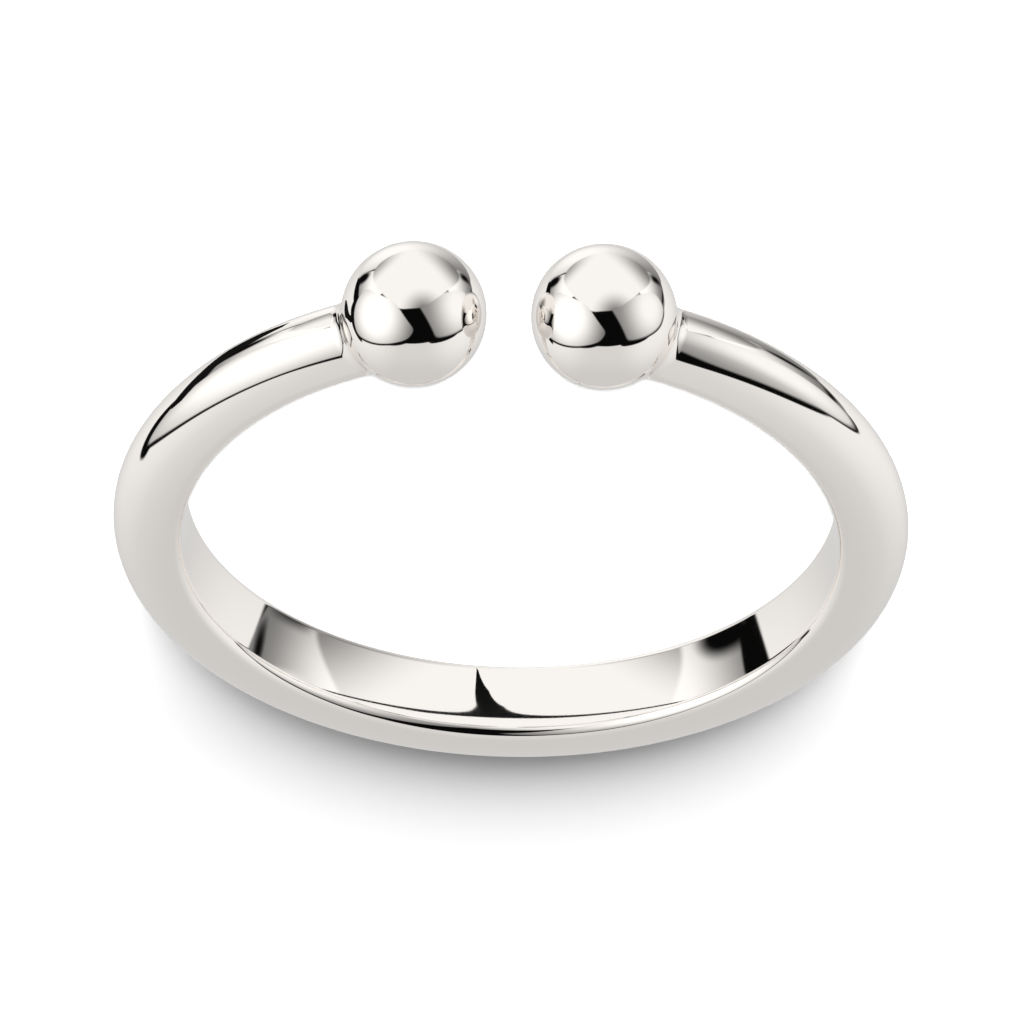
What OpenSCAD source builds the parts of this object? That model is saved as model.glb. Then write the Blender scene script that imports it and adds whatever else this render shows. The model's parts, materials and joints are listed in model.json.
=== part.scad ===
// Adjustable open ring: a domed band that tapers to two balls facing each other across a gap.
// The ring lies on its side, on its two balls and the far rim of the band, with its opening at -Y.
// It is built round its own axis first and then laid down. All sizes are in millimetres.

/* [Band] */
// Inside diameter of the finger opening
inside_d = 17.3; // [15.7:0.1:18.9]
// Width of the band where it is widest
band_w = 2.4; // [2.1:0.02:2.8]
// Thickness of the band at the back
back_t = 2.42; // [2.1:0.02:2.7]
// Thickness that the band tapers to at the opening
front_t = 1.48; // [1.3:0.02:1.7]
// Depth of the dome, from its crown in to where the band is widest
dome_depth = 2.05; // [1.9:0.01:2.2]
// Radius of the crown, the tightest part of the dome
crown_r = 0.85; // [0.7:0.01:0.95]
// Rounding of the two inner edges, for comfort on the finger
edge_r = 0.34; // [0.2:0.01:0.4]

/* [Ball ends] */
// Diameter of each ball
ball_d = 3.65; // [3.4:0.05:4]
// Gap between the two balls
ball_gap = 1.1; // [0.8:0.05:1.6]
// How far each ball's centre lies outside the band's inner wall
ball_out = 1; // [0.9:0.01:1.1]

/* [Hidden] */
$fn = 96;
// How far a cutter runs past what it cuts
over = 1;
// Height of the solder bead where the band runs into a ball
bead_h = 0.1;
inside_r = inside_d / 2;
half_w = band_w / 2;
ball_r = ball_d / 2;
// The dome turns about an axis set back from the finger's, so the band tapers towards its ends.
set_back = (back_t - front_t) / 2;
outer_r = inside_r + (back_t + front_t) / 2;
widest_r = outer_r - dome_depth;
// The dome is a small crown arc between two flank arcs that run into it without a kink.
crown_at = outer_r - crown_r;
flank_r = (pow(dome_depth, 2) + pow(half_w, 2) - 2 * dome_depth * crown_r) / (2 * (half_w - crown_r));
flank_drop = flank_r - half_w;
crown_lean = asin((crown_at - widest_r) / (flank_r - crown_r));
// Centres of the balls, either side of the opening
ball_x = (ball_d + ball_gap) / 2;
ball_y = sqrt(pow(inside_r + ball_out, 2) - pow(ball_x, 2));
// Laid down, the ring tilts until both balls and the flank at the back touch the ground.
contact_span = ball_y + widest_r + set_back;
rest_tilt = acos((flank_r - ball_r) / norm([contact_span, flank_drop])) - atan2(contact_span, flank_drop);
lift = ball_r - ball_y * sin(rest_tilt);
front_end = -ball_y * cos(rest_tilt) - ball_r;
back_end = (crown_at + set_back) * cos(rest_tilt) + crown_r;
middle_y = (front_end + back_end) / 2;

// Turns a section round the upright axis, with the seam where the opening is cut
module turned() {
    rotate([0, 0, -90])
        rotate_extrude()
            children();
}

// The band's domed section, in radius and height: a crown arc between two long flank arcs
module dome_section(grow) {
    flank_end = crown_at + (crown_r + grow) * sin(crown_lean);
    translate([crown_at, 0])
        circle(crown_r + grow);
    intersection() {
        translate([widest_r, flank_drop])
            circle(flank_r + grow);
        translate([widest_r, -flank_drop])
            circle(flank_r + grow);
        translate([flank_end - dome_depth, -band_w])
            square([dome_depth, 2 * band_w]);
    }
}

// The finger's opening, with a rounded mouth on each side
module finger_bore(grow) {
    turned() {
        translate([0, -half_w - over])
            square([inside_r - grow, band_w + 2 * over]);
        for (side = [0, 1])
            mirror([0, side])
                difference() {
                    translate([0, half_w - edge_r])
                        square([inside_r + edge_r, edge_r + over]);
                    translate([inside_r + edge_r, half_w - edge_r])
                        circle(edge_r + grow);
                }
    }
}

// The tapering band, cut open at the front, with its whole surface raised by grow
module band(grow = 0) {
    difference() {
        translate([0, set_back, 0])
            turned()
                dome_section(grow);
        finger_bore(grow);
        translate([grow - ball_x, -outer_r - over, -half_w - over])
            cube([2 * (ball_x - grow), outer_r + over, band_w + 2 * over]);
    }
}

// A sphere in the place of one of the two balls, turned so that its seam faces the opening
module ball_end(side, grow = 0) {
    translate([side * ball_x, -ball_y, 0])
        rotate([0, 0, 90 + side * 90])
            sphere(ball_r + grow);
}

// The low bead of solder that blends the band into a ball
module solder_bead(side) {
    intersection() {
        band(bead_h);
        ball_end(side, bead_h);
    }
}

// The whole ring, one piece of metal, laid on its side
module open_ring() {
    color("gainsboro")
        translate([0, -middle_y, lift])
            rotate([-rest_tilt, 0, 0]) {
                band();
                for (side = [-1, 1]) {
                    ball_end(side);
                    solder_bead(side);
                }
            }
}

open_ring();
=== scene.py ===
# %% [markdown]
# # An adjustable open ring in polished silver
# The ring is one piece of metal: a slim band, flat inside and domed outside, that tapers to two
# plain balls facing each other across a small gap. The frame holds it as one exact solid. This
# lesson gives it a smooth skin, a mirror finish, a pale floor and soft light.

import json
import math

import bmesh
import bpy
from mathutils import Matrix, Vector


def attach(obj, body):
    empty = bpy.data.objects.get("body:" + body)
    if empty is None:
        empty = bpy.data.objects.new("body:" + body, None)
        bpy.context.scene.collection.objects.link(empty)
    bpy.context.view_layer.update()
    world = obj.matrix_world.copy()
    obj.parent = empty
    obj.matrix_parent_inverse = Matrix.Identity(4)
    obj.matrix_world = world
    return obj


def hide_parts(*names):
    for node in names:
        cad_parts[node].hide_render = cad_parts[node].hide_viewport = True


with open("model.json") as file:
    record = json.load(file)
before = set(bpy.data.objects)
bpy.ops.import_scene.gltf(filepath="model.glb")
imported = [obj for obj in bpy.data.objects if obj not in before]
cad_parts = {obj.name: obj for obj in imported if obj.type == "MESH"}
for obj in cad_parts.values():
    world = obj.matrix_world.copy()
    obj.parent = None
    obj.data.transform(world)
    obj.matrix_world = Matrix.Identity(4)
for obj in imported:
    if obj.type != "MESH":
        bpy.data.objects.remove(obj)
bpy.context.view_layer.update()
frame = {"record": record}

# %% [markdown]
# ## Sizes
# A jeweller turns the dome of such a band round an axis set back from the finger's. That one
# offset makes the band taper from the back to its ends. The sizes are the solid's own, so the
# skin follows it to within a few hundredths of a millimetre, and only its fillets, its hardly
# domed inner wall and its softer dome differ. The record's mount says where the finger's opening
# lies and how it leans, because the ring rests on its two balls and on the back of the band.

# %% Driving sizes, in metres
MM = 0.001
BAND_W = 2.4 * MM
BACK_T = 2.42 * MM
FRONT_T = 1.48 * MM
DOME_DEPTH = 2.05 * MM
EDGE_R = 0.34 * MM
WALL_DOME_R = 9.0 * MM
BALL_R = 3.65 / 2 * MM
BALL_GAP = 1.1 * MM
BALL_OUT = 1.0 * MM
FILLET_R = 0.5 * MM

finger = frame["record"]["mounts"][0]
WALL_R = finger["dims"]["r_mm"] * MM
finger_centre = Vector(finger["pos_m"])
finger_axis = Vector(finger["axis"]).normalized()
across = Vector((1, 0, 0))
laid = Matrix((across, finger_axis.cross(across), finger_axis)).transposed()
LAID_DOWN = Matrix.Translation(finger_centre) @ laid.to_4x4()
print("finger opening", round(WALL_R / MM, 2), "mm in radius, leaning",
      round(math.degrees(finger_axis.angle(Vector((0, 0, 1)))), 2), "degrees")

# %% Sizes worked out from them
HALF_W = BAND_W / 2
SET_BACK = (BACK_T - FRONT_T) / 2
OUTER_R = WALL_R + (BACK_T + FRONT_T) / 2
WIDEST_R = OUTER_R - DOME_DEPTH
BALL_X = BALL_R + BALL_GAP / 2
BALL_Y = -math.sqrt((WALL_R + BALL_OUT) ** 2 - BALL_X ** 2)
BALL_AT = Vector((BALL_X, BALL_Y, 0))
print("dome set back", round(SET_BACK / MM, 3), "mm; balls at", [round(v / MM, 2) for v in BALL_AT])

# %% [markdown]
# ## The band's section
# Cut anywhere, the band is a D: a hardly domed wall towards the finger, a small rounding, and a
# dome of three arcs a side, tight at the crown and ever flatter down the flank. Each arc runs
# into the next without a kink, which matters on polished metal, where the eye follows every
# reflection across the joints. Because all of it is arcs, the section can also say which way its
# surface faces at each point. Those directions become the skin's normals, so that reflections
# are as smooth as on the real dome and don't show the mesh.
#
# Two of the dome's radii follow from its depth and width: they are the solution of two equations.

# %% The dome's three radii
SHOULDER_FROM, SHOULDER_TO = math.radians(42), math.radians(66)
TIP_R = 0.8 * MM
rise = Matrix(((math.sin(SHOULDER_TO) - math.sin(SHOULDER_FROM), 1 - math.sin(SHOULDER_TO)),
               (math.cos(SHOULDER_FROM) - math.cos(SHOULDER_TO), math.cos(SHOULDER_TO))))
still_to_go = Vector((HALF_W - TIP_R * math.sin(SHOULDER_FROM),
                      DOME_DEPTH - TIP_R * (1 - math.cos(SHOULDER_FROM))))
SHOULDER_R, FLANK_R = rise.inverted() @ still_to_go
print("dome radii", [round(v / MM, 2) for v in (TIP_R, SHOULDER_R, FLANK_R)], "mm")


def towards(angle):
    """A unit vector in the section: 0 points away from the finger, a quarter turn points up."""
    return Vector((math.cos(angle), math.sin(angle)))


tip_centre = Vector((OUTER_R - TIP_R, 0))
shoulder_centre = tip_centre - towards(SHOULDER_FROM) * (SHOULDER_R - TIP_R)
flank_centre = shoulder_centre - towards(SHOULDER_TO) * (FLANK_R - SHOULDER_R)

# %% The section as points and facings
WALL_STEPS, EDGE_STEPS, FLANK_STEPS, SHOULDER_STEPS, TIP_STEPS = 7, 12, 16, 12, 12


def arc(centre, radius, start, end, steps):
    """Points on an arc, each with the angle that it faces, without the first point."""
    turns = [start + (end - start) * i / steps for i in range(1, steps + 1)]
    return [(centre + towards(angle) * radius, angle) for angle in turns]


def crossing(centre_a, reach_a, centre_b, reach_b):
    """The upper point where two circles cross."""
    apart = centre_b - centre_a
    along = (apart.length_squared + reach_a ** 2 - reach_b ** 2) / (2 * apart.length)
    aside = math.sqrt(reach_a ** 2 - along ** 2)
    way = apart.normalized()
    ends = [centre_a + way * along + way.orthogonal() * side for side in (aside, -aside)]
    return max(ends, key=lambda end: end.y)


def wall_at(turn):
    """How far the finger's wall lies from the dome's axis, at a turn from the back."""
    return -SET_BACK * math.cos(turn) + math.sqrt(WALL_R ** 2 - (SET_BACK * math.sin(turn)) ** 2)


def upper_section(wall):
    """Half of the D, from the middle of the wall up and round to the crown."""
    wall_centre = Vector((wall + WALL_DOME_R, 0))
    edge_centre = crossing(wall_centre, WALL_DOME_R - EDGE_R, flank_centre, FLANK_R - EDGE_R)
    off_wall, off_flank = edge_centre - wall_centre, edge_centre - flank_centre
    wall_end = math.atan2(off_wall.y, off_wall.x)
    flank_start = math.atan2(off_flank.y, off_flank.x)
    points = [(Vector((wall, 0)), math.pi)]
    points += arc(wall_centre, WALL_DOME_R, math.pi, wall_end, WALL_STEPS)
    points += arc(edge_centre, EDGE_R, wall_end, flank_start, EDGE_STEPS)
    points += arc(flank_centre, FLANK_R, flank_start, SHOULDER_TO, FLANK_STEPS)
    points += arc(shoulder_centre, SHOULDER_R, SHOULDER_TO, SHOULDER_FROM, SHOULDER_STEPS)
    points += arc(tip_centre, TIP_R, SHOULDER_FROM, 0, TIP_STEPS)
    return points


HALF_RIBS = WALL_STEPS + EDGE_STEPS + FLANK_STEPS + SHOULDER_STEPS + TIP_STEPS
RIBS = 2 * HALF_RIBS
print("section of", RIBS, "points")


def on_band(rib, turn):
    """Place and normal of one rib of the band, at a turn from the back, in the ring's own frame."""
    above = rib <= HALF_RIBS
    spot, facing = upper_section(wall_at(turn))[rib if above else RIBS - rib]
    side = 1 if above else -1
    from_dome = Vector((math.sin(turn), math.cos(turn), 0))
    place = from_dome * spot.x + Vector((0, SET_BACK, side * spot.y))
    # The wall runs round the finger's axis and the dome round its own. The rounding goes over.
    from_finger = Vector((place.x, place.y, 0)).normalized()
    to_dome = min(1, 2 - 2 * facing / math.pi) if facing > math.pi / 2 else 1
    outward = from_finger.lerp(from_dome, to_dome).normalized()
    normal = outward * math.cos(facing) + Vector((0, 0, side * math.sin(facing)))
    return place, normal.normalized()


# %% [markdown]
# ## Where the band runs into a ball
# The two meet in a small hollow fillet, left by the solder and the polishing wheel. Its shape is
# what a tiny ball leaves when it rolls in the corner, touching both. For each rib of the band,
# the place where that rolling ball stops is found by halving an interval, as it has no formula.

# %% The rolling ball's stop on each rib
HALVINGS = 40
END_TURN = math.atan2(BALL_AT.x, BALL_AT.y - SET_BACK)
SEARCH_FROM = 0.8 * END_TURN


def rolled(rib, turn):
    """Centre of the rolling ball when it touches the band on this rib."""
    place, normal = on_band(rib, turn)
    return place + normal * FILLET_R


def fillet_turn(rib):
    """The turn at which the rolling ball on this rib meets the ball end."""
    near, far = SEARCH_FROM, END_TURN
    for _ in range(HALVINGS):
        middle = (near + far) / 2
        if (rolled(rib, middle) - BALL_AT).length > BALL_R + FILLET_R:
            near = middle
        else:
            far = middle
    return near


stop = [fillet_turn(rib) for rib in range(RIBS)]
print("fillet starts", round(math.degrees(min(stop)), 1), "to", round(math.degrees(max(stop)), 1),
      "degrees from the back")

# %% [markdown]
# ## The skin, one loop after another
# One arm is made and then mirrored. A circle is laid out as the section at the back, and its
# edges are extruded again and again: along the band, round the fillet, and over the ball to a
# pole that faces the gap. Extruding keeps every rib in one clean line from the back of the ring
# to the far side of the ball. Every vertex carries the number of its rib and its true normal.

# %% Extrude the arm
BAND_LOOPS, FILLET_LOOPS, BALL_LOOPS = 150, 8, 48


def along_band(rib, share):
    """The band from the back (share 0) to where the fillet starts (share 1)."""
    return on_band(rib, stop[rib] * share)


def along_fillet(rib, share):
    """The hollow fillet, from the band to the ball."""
    place, normal = on_band(rib, stop[rib])
    centre = place + normal * FILLET_R
    to_ball = (BALL_AT - centre).normalized()
    reach = (-normal).slerp(to_ball, share)
    return centre + reach * FILLET_R, -reach


def along_ball(rib, share):
    """The ball, from the fillet to the far pole."""
    place, _ = along_fillet(rib, 1)
    reach = (place - BALL_AT).normalized().slerp(pole, share)
    return BALL_AT + reach * BALL_R, reach


pole = Vector((BALL_AT.y, -BALL_AT.x, 0)).normalized()
skin = bmesh.new()
rib_layer = skin.verts.layers.int.new("rib")
normal_layer = skin.verts.layers.float_vector.new("true_normal")


def lay(verts, path, share):
    """Puts a loop's vertices on a path, each at its own rib's place."""
    for vert in verts:
        vert.co, vert[normal_layer] = path(vert[rib_layer], share)


loop = bmesh.ops.create_circle(skin, cap_ends=False, segments=RIBS, radius=WALL_R)["verts"]
for rib, vert in enumerate(loop):
    vert[rib_layer] = rib
lay(loop, along_band, 0)
edges = list(skin.edges)
parts = ((along_band, BAND_LOOPS), (along_fillet, FILLET_LOOPS), (along_ball, BALL_LOOPS))
for path, count in parts:
    for step in range(1, count + 1):
        made = bmesh.ops.extrude_edge_only(skin, edges=edges)["geom"]
        loop = [item for item in made if isinstance(item, bmesh.types.BMVert)]
        edges = [item for item in made if isinstance(item, bmesh.types.BMEdge)]
        lay(loop, path, step / count)
bmesh.ops.pointmerge(skin, verts=loop, merge_co=BALL_AT + pole * BALL_R)
print("one arm:", len(skin.verts), "vertices")

# %% Mirror it, lay it down and close it
MERGE = 1e-7
mirrored = bmesh.ops.mirror(skin, geom=skin.verts[:] + skin.edges[:] + skin.faces[:],
                            matrix=Matrix.Identity(4), merge_dist=MERGE, axis="X")["geom"]
for item in mirrored:
    if isinstance(item, bmesh.types.BMVert) and item.co.x < -MERGE:
        item[normal_layer] = item[normal_layer] * Vector((-1, 1, 1))
bmesh.ops.remove_doubles(skin, verts=skin.verts, dist=MERGE)
for vert in skin.verts:
    vert[normal_layer] = laid @ vert[normal_layer]
bmesh.ops.transform(skin, matrix=LAID_DOWN, verts=skin.verts)
bmesh.ops.recalc_face_normals(skin, faces=skin.faces)
open_edges = [edge for edge in skin.edges if not edge.is_manifold]
print("whole skin:", len(skin.faces), "faces;", len(open_edges), "open edges; volume",
      round(skin.calc_volume() / MM ** 3, 1), "mm3")

ring_mesh = bpy.data.meshes.new("polished_ring")
true_normals = [tuple(vert[normal_layer]) for vert in skin.verts]
skin.to_mesh(ring_mesh)
skin.free()
ring_mesh.shade_smooth()
ring_mesh.normals_split_custom_set_from_vertices(true_normals)
ring = bpy.data.objects.new("polished_ring", ring_mesh)
bpy.context.scene.collection.objects.link(ring)
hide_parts("open_ring")
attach(ring, "root")

# %% [markdown]
# ## Polished silver
# Silver is the whitest of the metals, with the faintest warmth. Polished on a wheel it is almost
# a perfect mirror, so nearly everything that is seen on it is the studio. What is left of the
# work is a slow change in gloss and, inside it, a haze of very fine hairlines. Both come from one
# node group that puts out two masks, and the shader adds them up to its roughness.

# %% The polisher's marks, as a node group
polish = bpy.data.node_groups.new("polish_marks", "ShaderNodeTree")
for name in ("Cloud Scale", "Hairline Scale"):
    polish.interface.new_socket(name, in_out="INPUT", socket_type="NodeSocketFloat")
for name in ("Haze", "Hairlines"):
    polish.interface.new_socket(name, in_out="OUTPUT", socket_type="NodeSocketFloat")


def add_node(tree, kind, **settings):
    """Adds a node to a tree and sets what is named."""
    node = tree.nodes.new(kind)
    for key, value in settings.items():
        setattr(node, key, value)
    return node


group_in = add_node(polish, "NodeGroupInput")
group_out = add_node(polish, "NodeGroupOutput")
here = add_node(polish, "ShaderNodeTexCoord")
cloud = add_node(polish, "ShaderNodeTexNoise")
hairline = add_node(polish, "ShaderNodeTexNoise")
stretch = add_node(polish, "ShaderNodeMapping")
CLOUD_DETAIL, HAIRLINE_DETAIL = 4, 3
HAIRLINE_STRETCH = 0.06
cloud.inputs["Detail"].default_value = CLOUD_DETAIL
hairline.inputs["Detail"].default_value = HAIRLINE_DETAIL
stretch.inputs["Scale"].default_value = (1, 1, HAIRLINE_STRETCH)
polish.links.new(here.outputs["Object"], cloud.inputs["Vector"])
polish.links.new(here.outputs["Object"], stretch.inputs["Vector"])
polish.links.new(stretch.outputs["Vector"], hairline.inputs["Vector"])
polish.links.new(group_in.outputs["Cloud Scale"], cloud.inputs["Scale"])
polish.links.new(group_in.outputs["Hairline Scale"], hairline.inputs["Scale"])
polish.links.new(cloud.outputs["Fac"], group_out.inputs["Haze"])
polish.links.new(hairline.outputs["Fac"], group_out.inputs["Hairlines"])
print("polish group:", len(polish.nodes), "nodes")

# %% The silver itself
SILVER_COLOUR = (0.915, 0.885, 0.855, 1)
GLOSS_RANGE = (0.015, 0.04)
HAIRLINE_ROUGHNESS = 0.015
CLOUDS_A_METRE, HAIRLINES_A_METRE = 400, 30000
silver = bpy.data.materials.new("polished_silver")
silver.use_nodes = True
tree = silver.node_tree
shader = tree.nodes["Principled BSDF"]
shader.inputs["Base Color"].default_value = SILVER_COLOUR
shader.inputs["Metallic"].default_value = 1
marks = add_node(tree, "ShaderNodeGroup", node_tree=polish)
marks.inputs["Cloud Scale"].default_value = CLOUDS_A_METRE
marks.inputs["Hairline Scale"].default_value = HAIRLINES_A_METRE
gloss = add_node(tree, "ShaderNodeMapRange")
gloss.inputs["To Min"].default_value, gloss.inputs["To Max"].default_value = GLOSS_RANGE
scratched = add_node(tree, "ShaderNodeMath", operation="MULTIPLY_ADD")
scratched.inputs[1].default_value = HAIRLINE_ROUGHNESS
tree.links.new(marks.outputs["Haze"], gloss.inputs["Value"])
tree.links.new(marks.outputs["Hairlines"], scratched.inputs[0])
tree.links.new(gloss.outputs["Result"], scratched.inputs[2])
tree.links.new(scratched.outputs["Value"], shader.inputs["Roughness"])
ring_mesh.materials.append(silver)
print("silver roughness", GLOSS_RANGE, "and up to", HAIRLINE_ROUGHNESS, "more in the hairlines")

# %% [markdown]
# ## The camera
# The balls are at the top of the picture, yet they are nearer to the camera than the back of the
# band. So the camera stands on the side of the opening, looks down at the ring and is held nearly
# upside down. It is placed by a chain of simple moves from the ring's own frame: lay the ring
# flat, turn it round its axis, tip the axis away from the line of sight, roll the picture a touch
# and push everything away. The inverse of that chain is the camera's place. Lengths in the picture
# are in its pixels, and the angles were fitted to the ring's outline in the photograph.

# %% Camera
PIXELS = 1024
PER_MM = 37.543
DISTANCE_PX = 4500
AXIS_TO_SIGHT = math.radians(55.737)
ROUND = math.radians(1.04)
ROLL = math.radians(-1.441)
OFF_X, OFF_Y = -1.482, -13.708
SENSOR_MM = 36
CLIP_NEAR, CLIP_FAR = 0.01, 10
pixel = MM / PER_MM
camera_data = bpy.data.cameras.new("camera")
camera_data.sensor_width = SENSOR_MM
camera_data.lens = SENSOR_MM * DISTANCE_PX / PIXELS
camera_data.clip_start, camera_data.clip_end = CLIP_NEAR, CLIP_FAR
camera = bpy.data.objects.new("camera", camera_data)
bpy.context.scene.collection.objects.link(camera)
bpy.context.scene.camera = camera
seen = (Matrix.Translation(Vector((OFF_X, OFF_Y, -DISTANCE_PX)) * pixel)
        @ Matrix.Rotation(ROLL, 4, "Z") @ Matrix.Rotation(AXIS_TO_SIGHT, 4, "X")
        @ Matrix.Rotation(math.pi + ROUND, 4, "Z") @ LAID_DOWN.inverted())
camera.matrix_world = seen.inverted()
print("camera at", [round(v / MM, 1) for v in camera.matrix_world.translation], "mm")

# %% [markdown]
# ## Directions in the studio
# A mirror shows what stands round it, so the studio matters as much as the ring. It is described
# by directions: a turn, from 0 towards the viewer round to 90 at the picture's right, and a
# height above the studio's own horizon. In the picture that horizon lies well above the middle,
# because the photographer looked down on the ring.

# %% Which way is which
LOOKING_DOWN = math.radians(48)
right, picture_up, backwards = (camera.matrix_world.to_3x3().col[i] for i in range(3))
studio_up = picture_up * math.cos(LOOKING_DOWN) + backwards * math.sin(LOOKING_DOWN)
studio_front = backwards * math.cos(LOOKING_DOWN) - picture_up * math.sin(LOOKING_DOWN)


def heading(turn, height):
    """The unit vector for a turn and a height in degrees."""
    turn, height = math.radians(turn), math.radians(height)
    level = right * math.sin(turn) + studio_front * math.cos(turn)
    return level * math.cos(height) + studio_up * math.sin(height)


print("studio's up is", [round(v, 3) for v in studio_up], "in the scene")

# %% [markdown]
# ## Soft boxes as masks
# The studio could be built from glowing cards, but cards would show in the other views and cast
# shadows. Written in the world's shader it is only ever seen in the metal. A soft box is an
# outline of a few corners. Each side of the outline is a plane through the middle of the sky, and
# the dot product with the plane's normal says how far a direction lies inside it. The smallest of
# these, taken softly so that the corners come out round, is the mask. Inside its outline a box is
# brightest round one direction, where its lamp stands, and falls off towards its edges.

# %% Helpers for the world's shader
world = bpy.data.worlds.new("studio")
bpy.context.scene.world = world
world.use_nodes = True
sky = world.node_tree
direction = add_node(sky, "ShaderNodeTexCoord").outputs["Generated"]
CORNER_ROUNDING = 0.16


def feed(slot, value):
    """Puts a socket or a plain number into a node's input."""
    if isinstance(value, bpy.types.NodeSocket):
        sky.links.new(value, slot)
    else:
        slot.default_value = value


def maths(operation, *values):
    """A Math node."""
    node = add_node(sky, "ShaderNodeMath", operation=operation)
    for slot, value in zip(node.inputs, values):
        feed(slot, value)
    return node.outputs["Value"]


def along(way):
    """How much the direction that is looked up points along a way, from -1 to 1."""
    node = add_node(sky, "ShaderNodeVectorMath", operation="DOT_PRODUCT")
    feed(node.inputs[0], direction)
    feed(node.inputs[1], way)
    return node.outputs["Value"]


def ramp(value, start, end, low=0, high=1):
    """A smooth change from low at start to high at end."""
    node = add_node(sky, "ShaderNodeMapRange", interpolation_type="SMOOTHSTEP")
    for name, given in zip(("Value", "From Min", "From Max", "To Min", "To Max"),
                           (value, start, end, low, high)):
        feed(node.inputs[name], given)
    return node.outputs["Result"]


def depth_in(corners):
    """How deep inside an outline, as a sine; below 0 outside. No corner may point inwards."""
    ways = [heading(*corner) for corner in corners]
    depth = None
    for way, following in zip(ways, ways[1:] + ways[:1]):
        side = way.cross(following).normalized()
        if side.dot(sum(ways, Vector())) < 0:
            side.negate()
        here = along(side)
        depth = here if depth is None else maths("SMOOTH_MIN", depth, here, CORNER_ROUNDING)
    return depth


def lay_over(studio, mask, glow):
    """The studio so far, with a glow laid over it where the mask is 1."""
    return maths("MULTIPLY_ADD", mask, maths("SUBTRACT", glow, studio), studio)


def box_glow(lamp, near, far, bright, dim):
    """Bright round the lamp's direction and dim far from it, with the angles in degrees."""
    angle = maths("ARCCOSINE", along(heading(*lamp)))
    return ramp(angle, math.radians(near), math.radians(far), bright, dim)


# %% [markdown]
# ## Table and room
# Low directions show the pale table, which is a little duller straight down and lighter at both
# sides. Everything above the horizon is a dark room until boxes are hung in it.

# %% Table and dark room
NEARLY_BLACK = 0.003
TABLE_LEVEL, TABLE_BELOW, FADE_FROM = 0.74, 0.66, 0.3
SIDE_GLOW, SIDES_FROM = 0.22, 0.25
HORIZON_HEIGHT, HORIZON_LEAN, HORIZON_SOFT = -0.09, 0.05, 0.012
table = ramp(along(-studio_up), FADE_FROM, 1.0, TABLE_LEVEL, TABLE_BELOW)
table_sides = ramp(maths("ABSOLUTE", along(right)), SIDES_FROM, 1.0, 0, SIDE_GLOW)
studio = maths("ADD", table, table_sides)
lean = maths("MULTIPLY", along(studio_front), HORIZON_LEAN)
over_horizon = maths("SUBTRACT", along(studio_up), lean)
room = ramp(over_horizon, HORIZON_HEIGHT - HORIZON_SOFT, HORIZON_HEIGHT + HORIZON_SOFT)
studio = lay_over(studio, room, NEARLY_BLACK)
print("table glows", TABLE_LEVEL, "to", TABLE_BELOW, "and the room", NEARLY_BLACK)

# %% [markdown]
# ## Outlines in the studio
# Each corner is a turn and a height in degrees. Three boxes hang over the ring and to its sides,
# two wings close the room beside them, and a wall stands behind. Black cards lie under the boxes
# and wings. Two soft cards stand at the far ends of the wings, just under the top box.

# %% The outlines of the boxes, the wings beside them and the black cards
TOP_BOX = ((-33, 48), (27, 52), (124, 15), (133, 9), (152, 7), (178, 13), (-150, 13),
           (-131, 19), (-116, 28))
LEFT_BOX = ((-113, 17), (-50, 54), (2, 21), (-6, 6), (-89, -26), (-107, -6))
RIGHT_BOX = ((14, 62), (34, 0), (60, -8), (92, -14), (109, -6), (113, 14))
LEFT_WING = ((-136, 34), (-88, 46), (-96, -8), (-136, -2))
RIGHT_WING = ((96, 38), (140, 30), (140, -4), (96, -10))
BACK_WALL = ((-140, 24), (-134, -6), (180, -22), (133, -8), (139, 12))
UNDER_LEFT_BOX = ((0, 4), (-20, -1), (-48, -15), (-48, -19.5), (-30, -12.5), (-4, -6.5))
UNDER_RIGHT_BOX = ((22, 9), (40, 4), (70, -8), (70, -13.5), (44, -11), (22, -6.5))
UNDER_LEFT_WING = ((-134, 0), (-128, 3), (-110, 4), (-108, -8), (-120, -9), (-134, -5))
UNDER_RIGHT_WING = ((98, -4), (112, 1), (122, -1), (133, -3), (133, -11), (120, -8), (100, -11))
LOWER_LEFT = ((-113, 6), (-84, -10), (-78, -33), (-93, -30), (-114, -15))
BLACK_CARDS = (UNDER_LEFT_WING, UNDER_RIGHT_WING, UNDER_LEFT_BOX, UNDER_RIGHT_BOX, LOWER_LEFT)
SOFT_CARDS = (((128, 11), (137, 9), (139, 0), (137, -6), (129, -4)),
              ((-137, -4), (-136, 13), (-128, 17), (-123, 13), (-126, -4)))
print(len(BLACK_CARDS), "black cards and", len(SOFT_CARDS), "soft ones")

# %% Soft edges, and helpers to lay a box and to light a wing
EDGE = 0.012
TOP_EDGE, LEFT_EDGE, RIGHT_EDGE = 1.7 * EDGE, 1.5 * EDGE, 3 * EDGE
FRAME = 0.05
SOFT_CARD_OUT, SOFT_CARD_IN = -0.05, 0.04


def lay_box(studio, outline, glow, soft=EDGE):
    """The studio with a box of a given glow laid over it."""
    return lay_over(studio, ramp(depth_in(outline), -soft, soft), glow)


def height_glow(low, high, dim, bright):
    """Dim at a low height and bright at a high one, in degrees."""
    low, high = math.sin(math.radians(low)), math.sin(math.radians(high))
    return ramp(along(studio_up), low, high, dim, bright)


print("edges soft over", 2 * EDGE, "of a sine")

# %% [markdown]
# ## Layer on layer
# The studio is built up from far to near, as a stage is. First comes the wall behind, then the
# black gaps round the side boxes, the two wings that grow brighter towards the ceiling, and the
# black cards. Cards are how a photographer draws lines on polished metal: each black line along
# an arm is a card's reflection, or that of a sliver that comes later. The boxes are last. The top
# box isn't even: it has three duller places along its edge, which give the balls their round, soft
# shading. A box's glow is its lamp's direction, the angles from it where the glow is highest and
# lowest, and these two values. A wing's has two heights in place of the angles, the lower one dim.

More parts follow.
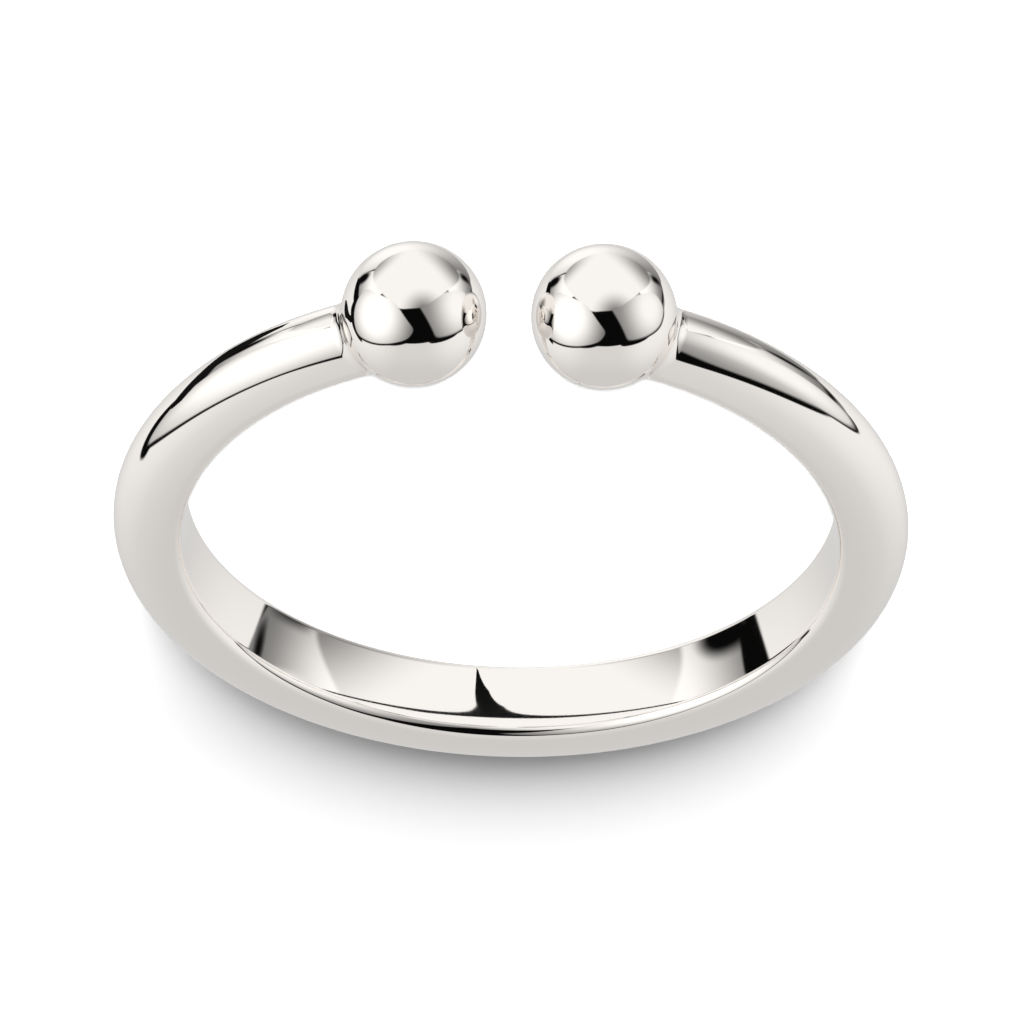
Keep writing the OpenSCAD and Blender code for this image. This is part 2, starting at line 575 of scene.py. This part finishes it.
# %% How the boxes and wings glow
BACK_GLOW = ((-165, 6), 5, 60, 1.1, 0.22)
LEFT_GLOW = ((-68, 20), 12, 72, 1.3, 0.12)
RIGHT_GLOW = ((88, 17), 8, 58, 1.05, 0.28)
LEFT_WING_GLOW = (-2, 30, 0.25, 1.15)
RIGHT_WING_GLOW = (-4, 32, 0.22, 1.15)
TOP_GLOW = 1.03
DULL_PLACES = (((24, 46), 0, 42, 0.15), ((137, 2), 8, 48, 0.2), ((-140, 8), 0, 36, 0.15))
print("the top box glows", TOP_GLOW, "with", len(DULL_PLACES), "duller places")

# %% Layers of the studio
studio = lay_box(studio, BACK_WALL, box_glow(*BACK_GLOW))
for outline in (LEFT_BOX, RIGHT_BOX):
    studio = lay_over(studio, ramp(depth_in(outline), -FRAME - EDGE, -FRAME + EDGE), NEARLY_BLACK)
studio = lay_box(studio, LEFT_WING, height_glow(*LEFT_WING_GLOW))
studio = lay_box(studio, RIGHT_WING, height_glow(*RIGHT_WING_GLOW))
for outline in BLACK_CARDS:
    studio = lay_box(studio, outline, NEARLY_BLACK)
for outline in SOFT_CARDS:
    soft_card = ramp(depth_in(outline), SOFT_CARD_OUT, SOFT_CARD_IN)
    studio = lay_over(studio, soft_card, NEARLY_BLACK)
studio = lay_box(studio, RIGHT_BOX, box_glow(*RIGHT_GLOW), RIGHT_EDGE)
top_glow = TOP_GLOW
for way, near, far, dull in DULL_PLACES:
    top_glow = maths("MULTIPLY", top_glow, box_glow(way, near, far, dull, 1))
studio = lay_box(studio, TOP_BOX, top_glow, TOP_EDGE)
studio = lay_box(studio, LEFT_BOX, box_glow(*LEFT_GLOW), LEFT_EDGE)
studio = lay_box(studio, UNDER_LEFT_BOX, NEARLY_BLACK)

# %% The studio's colour
WARM_WHITE = (1, 0.995, 0.985, 1)
background = sky.nodes["Background"]
background.inputs["Color"].default_value = WARM_WHITE
sky.links.new(studio, background.inputs["Strength"])
print("world:", len(sky.nodes), "nodes")

# %% [markdown]
# ## The floor
# A wide sheet of white paper. The metal doesn't mirror it, because the studio above already holds
# the table's pale grey. The studio's boxes don't light it either: it has its own lights. A weak
# fill comes from above. A key comes low from behind the camera and throws the one soft shadow
# beyond the far rim. A spot at the camera itself washes out every other shadow: what it doesn't
# reach, the camera doesn't see. Its pool of light ends at the far rim. The paper ends up a little
# past white, so its lights leave no edges on it.

# %% White paper floor
FLOOR_HALF = 0.7
PAPER_WHITE, PAPER_ROUGHNESS = 0.9, 0.9
floor_form = bmesh.new()
bmesh.ops.create_grid(floor_form, x_segments=1, y_segments=1, size=FLOOR_HALF)
floor_mesh = bpy.data.meshes.new("paper_floor")
floor_form.to_mesh(floor_mesh)
floor_form.free()
floor = bpy.data.objects.new("paper_floor", floor_mesh)
bpy.context.scene.collection.objects.link(floor)
floor.visible_glossy = False
paper = bpy.data.materials.new("white_paper")
paper.use_nodes = True
paper_shader = paper.node_tree.nodes["Principled BSDF"]
paper_shader.inputs["Base Color"].default_value = (PAPER_WHITE, PAPER_WHITE, PAPER_WHITE, 1)
paper_shader.inputs["Roughness"].default_value = PAPER_ROUGHNESS
paper_shader.inputs["Specular IOR Level"].default_value = 0
floor_mesh.materials.append(paper)
print("floor", 2 * FLOOR_HALF, "m wide")

# %% Soft lights for the paper
world.cycles_visibility.diffuse = False


def soft_sun(name, comes_from, softness, brightness):
    """A broad far light that alone would show the paper at a given brightness."""
    comes_from = Vector(comes_from).normalized()
    data = bpy.data.lights.new(name, "SUN")
    data.energy = brightness * math.pi / (PAPER_WHITE * comes_from.z)
    data.angle = math.radians(softness)
    sun = bpy.data.objects.new(name, data)
    sun.matrix_world = comes_from.to_track_quat("Z", "Y").to_matrix().to_4x4()
    sun.visible_glossy = False
    bpy.context.scene.collection.objects.link(sun)
    print(name, "stands", round(math.degrees(math.asin(comes_from.z)), 1), "degrees high")


soft_sun("fill", comes_from=(0, -0.3, 0.95), softness=90, brightness=0.13)
soft_sun("key", comes_from=(-0.05, -0.92, 0.34), softness=26, brightness=1.0)

# %% [markdown]
# ## The spot at the camera
# Its pool is a circle in the picture, given in pixels from the picture's middle. A light at the
# lens can't cast a shadow that the lens sees. In the other views its shadows do show.

# %% The spot
POOL_MIDDLE, POOL_RADIUS = (0, 612), 828
POOL_BRIGHTNESS, POOL_FADE = 1.0, 0.15
SPOT_RADIUS = 3 * MM
spot_data = bpy.data.lights.new("front_spot", "SPOT")
spot_data.spot_size = 2 * math.atan(POOL_RADIUS / DISTANCE_PX)
spot_data.spot_blend = POOL_FADE
spot_data.shadow_soft_size = SPOT_RADIUS
spot = bpy.data.objects.new("front_spot", spot_data)
aim = Vector((*POOL_MIDDLE, -DISTANCE_PX)).normalized()
turned = (-aim).to_track_quat("Z", "Y").to_matrix().to_4x4()
spot.matrix_world = camera.matrix_world @ turned
distance = camera.matrix_world.translation.length
slant = camera.matrix_world.col[2].z
spot_data.energy = POOL_BRIGHTNESS * 4 * math.pi ** 2 * distance ** 2 / (PAPER_WHITE * slant)
spot.visible_glossy = False
bpy.context.scene.collection.objects.link(spot)
print("front spot", round(spot_data.energy, 2), "W")

# %% [markdown]
# ## Slivers on the paper
# Two of the black lines in the metal come from close by, so no far card can draw them: a direction
# that is black seen from the left arm is bright seen from the ball next to it. Both are painted
# reflections: slivers of black on the paper that only reflections see. The arm's sliver stands in
# for the shaded paper beside the arm. Their corners are in millimetres.

# %% Black slivers, painted reflections
ABOVE_PAPER = 0.01 * MM
ARM_SLIVER = ((6.2, -8.15), (6.9, -7.3), (7.9, -6.5), (9.7, -6.0), (16.3, -3.6), (24, -2.6),
              (27, -3.6), (11, -6.8), (9.1, -7.5), (7.9, -8.0), (6.7, -8.3))
WALL_SLIVER = ((-0.05, 3.9), (0.12, 5.6), (0.45, 7.1), (1.0, 8.6), (0.7, 7.05), (0.38, 5.6),
               (0.12, 3.9))
# Painted reflection: a near-black sheet that only reflections see, drawing dark lines in the metal;
# the arm's one stands for shaded paper.
painted_reflection_black = bpy.data.materials.new("painted_reflection_black")
painted_reflection_black.use_nodes = True
card_shader = painted_reflection_black.node_tree.nodes["Principled BSDF"]
card_shader.inputs["Base Color"].default_value = (NEARLY_BLACK, NEARLY_BLACK, NEARLY_BLACK, 1)
card_shader.inputs["Specular IOR Level"].default_value = 0
for name, outline in (("arm_sliver", ARM_SLIVER), ("wall_sliver", WALL_SLIVER)):
    form = bmesh.new()
    corners = [form.verts.new((x * MM, y * MM, ABOVE_PAPER)) for x, y in outline]
    bmesh.ops.contextual_create(form, geom=corners)
    sliver_mesh = bpy.data.meshes.new(name)
    form.to_mesh(sliver_mesh)
    form.free()
    sliver_mesh.materials.append(painted_reflection_black)
    sliver = bpy.data.objects.new(name, sliver_mesh)
    bpy.context.scene.collection.objects.link(sliver)
    sliver.visible_camera = sliver.visible_diffuse = sliver.visible_shadow = False
print("slivers laid", ABOVE_PAPER / MM, "mm above the paper")

# %% [markdown]
# ## Colours
# The standard view shows white paper as white, where a film-like one would make it grey.

# %% Colours as the eye sees them
bpy.context.scene.view_settings.view_transform = "Standard"
print("view", bpy.context.scene.view_settings.view_transform)
